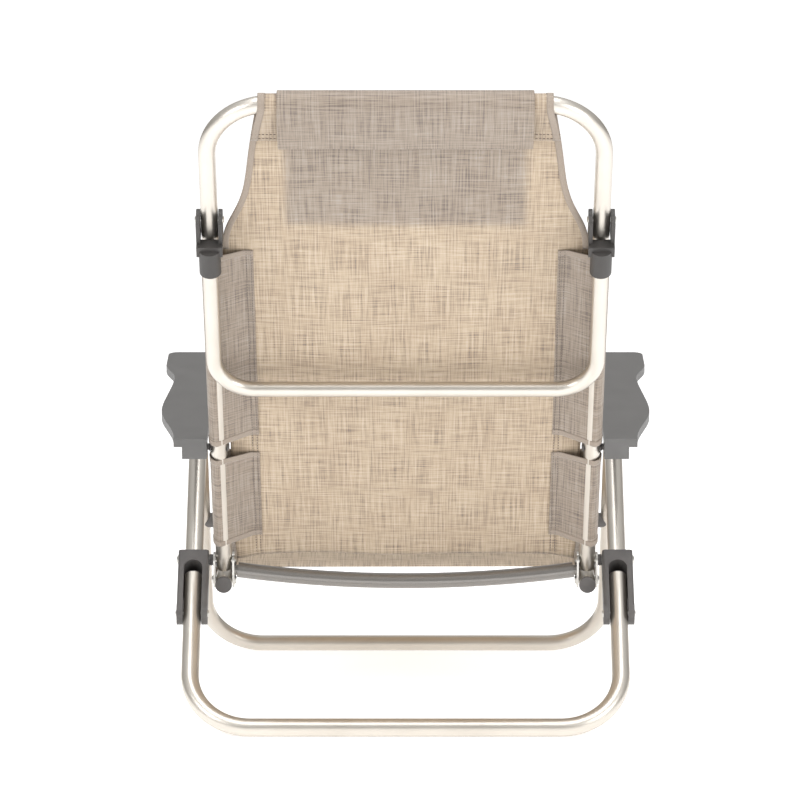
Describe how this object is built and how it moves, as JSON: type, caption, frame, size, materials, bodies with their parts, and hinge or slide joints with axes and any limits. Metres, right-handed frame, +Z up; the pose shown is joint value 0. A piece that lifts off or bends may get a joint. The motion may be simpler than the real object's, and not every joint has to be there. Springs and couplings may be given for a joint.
{
  "type": "folding beach chair",
  "caption": "Low folding beach chair with tube U legs, a reclining mesh sling back, plastic armrests, a head pillow and a back stand.",
  "frame": {"origin": "on the floor under the middle of the chair's box", "axes": "+Z up, -Y the way the sitter faces, +X to the sitter's left"},
  "size_m": [0.6138, 0.8783, 0.8142],
  "materials": {
    "tube": "satin anodised",
    "plastic": "fine matte moulded",
    "armrest_plastic": "fine matte moulded",
    "mesh_cloth": "woven mesh",
    "rivet": "zinc plated",
    "cross_paint": "grey paint"
  },
  "bodies": {
    "seat": {"seat_frame": "tube", "seat_end_plugs": "plastic", "hinge_plates": "rivet", "seat_pins": "rivet", "cross_tube": "cross_paint", "leg_rivets": "rivet", "hinge_rivets": "rivet", "hinge_washers": "plastic", "seat_sling": "mesh_cloth", "seat_sleeves": "mesh_cloth"},
    "back": {"back_frame": "tube", "back_end_plugs": "plastic", "back_sling": "mesh_cloth", "back_sleeves": "mesh_cloth", "headrest_pillow": "mesh_cloth", "stand_rivets": "rivet", "arm_pins": "plastic"},
    "stand": {"stand_tube": "tube", "stand_clip_left": "plastic", "stand_clip_right": "plastic"},
    "armrest_left": {"armrest_left": "armrest_plastic"},
    "armrest_right": {"armrest_right": "armrest_plastic"},
    "struts": {"strut_left": "tube", "strut_right": "tube", "knee_fork_left": "plastic", "knee_fork_right": "plastic", "catch_roller_left": "plastic", "catch_roller_right": "plastic", "knee_rivets": "rivet"},
    "rear_leg": {"rear_leg": "tube", "rear_leg_plugs": "plastic"},
    "front_leg": {"front_leg": "tube", "front_leg_plugs": "plastic", "leg_spacers": "plastic"}
  },
  "joints": [
    {"name": "recline", "type": "hinge", "parent": "seat", "child": "back", "pos_m": [0, -0.00402, 0.185], "axis": [-1, 0, 0], "range_deg": [-15, 47]},
    {"name": "stand_swing", "type": "hinge", "parent": "back", "child": "stand", "pos_m": [0, 0.32189, 0.6453], "axis": [1, 0, 0], "range_deg": [0, 105]},
    {"name": "armrest_left_turn", "type": "hinge", "parent": "back", "child": "armrest_left", "pos_m": [0, 0.10999, 0.34602], "axis": [-1, 0, 0], "range_deg": [-29, 10]},
    {"name": "armrest_right_turn", "type": "hinge", "parent": "back", "child": "armrest_right", "pos_m": [0, 0.10999, 0.34602], "axis": [-1, 0, 0], "range_deg": [-29, 10]},
    {"name": "front_leg_fold", "type": "hinge", "parent": "seat", "child": "front_leg", "pos_m": [0, -0.23634, 0.19302], "axis": [1, 0, 0], "range_deg": [0, 100]},
    {"name": "strut_fold", "type": "hinge", "parent": "seat", "child": "struts", "pos_m": [0, -0.00402, 0.185], "axis": [1, 0, 0], "range_deg": [0, 34]},
    {"name": "knee_fold", "type": "hinge", "parent": "struts", "child": "rear_leg", "pos_m": [0, 0.05106, 0.12836], "axis": [-1, 0, 0], "range_deg": [0, 130]}
  ],
  "couplings": [
    {"joint": "armrest_left_turn", "follows": "recline", "ratio": -0.608},
    {"joint": "armrest_right_turn", "follows": "recline", "ratio": -0.608},
    {"joint": "strut_fold", "follows": "front_leg_fold", "ratio": 0.34},
    {"joint": "knee_fold", "follows": "front_leg_fold", "ratio": 1.3}
  ]
}
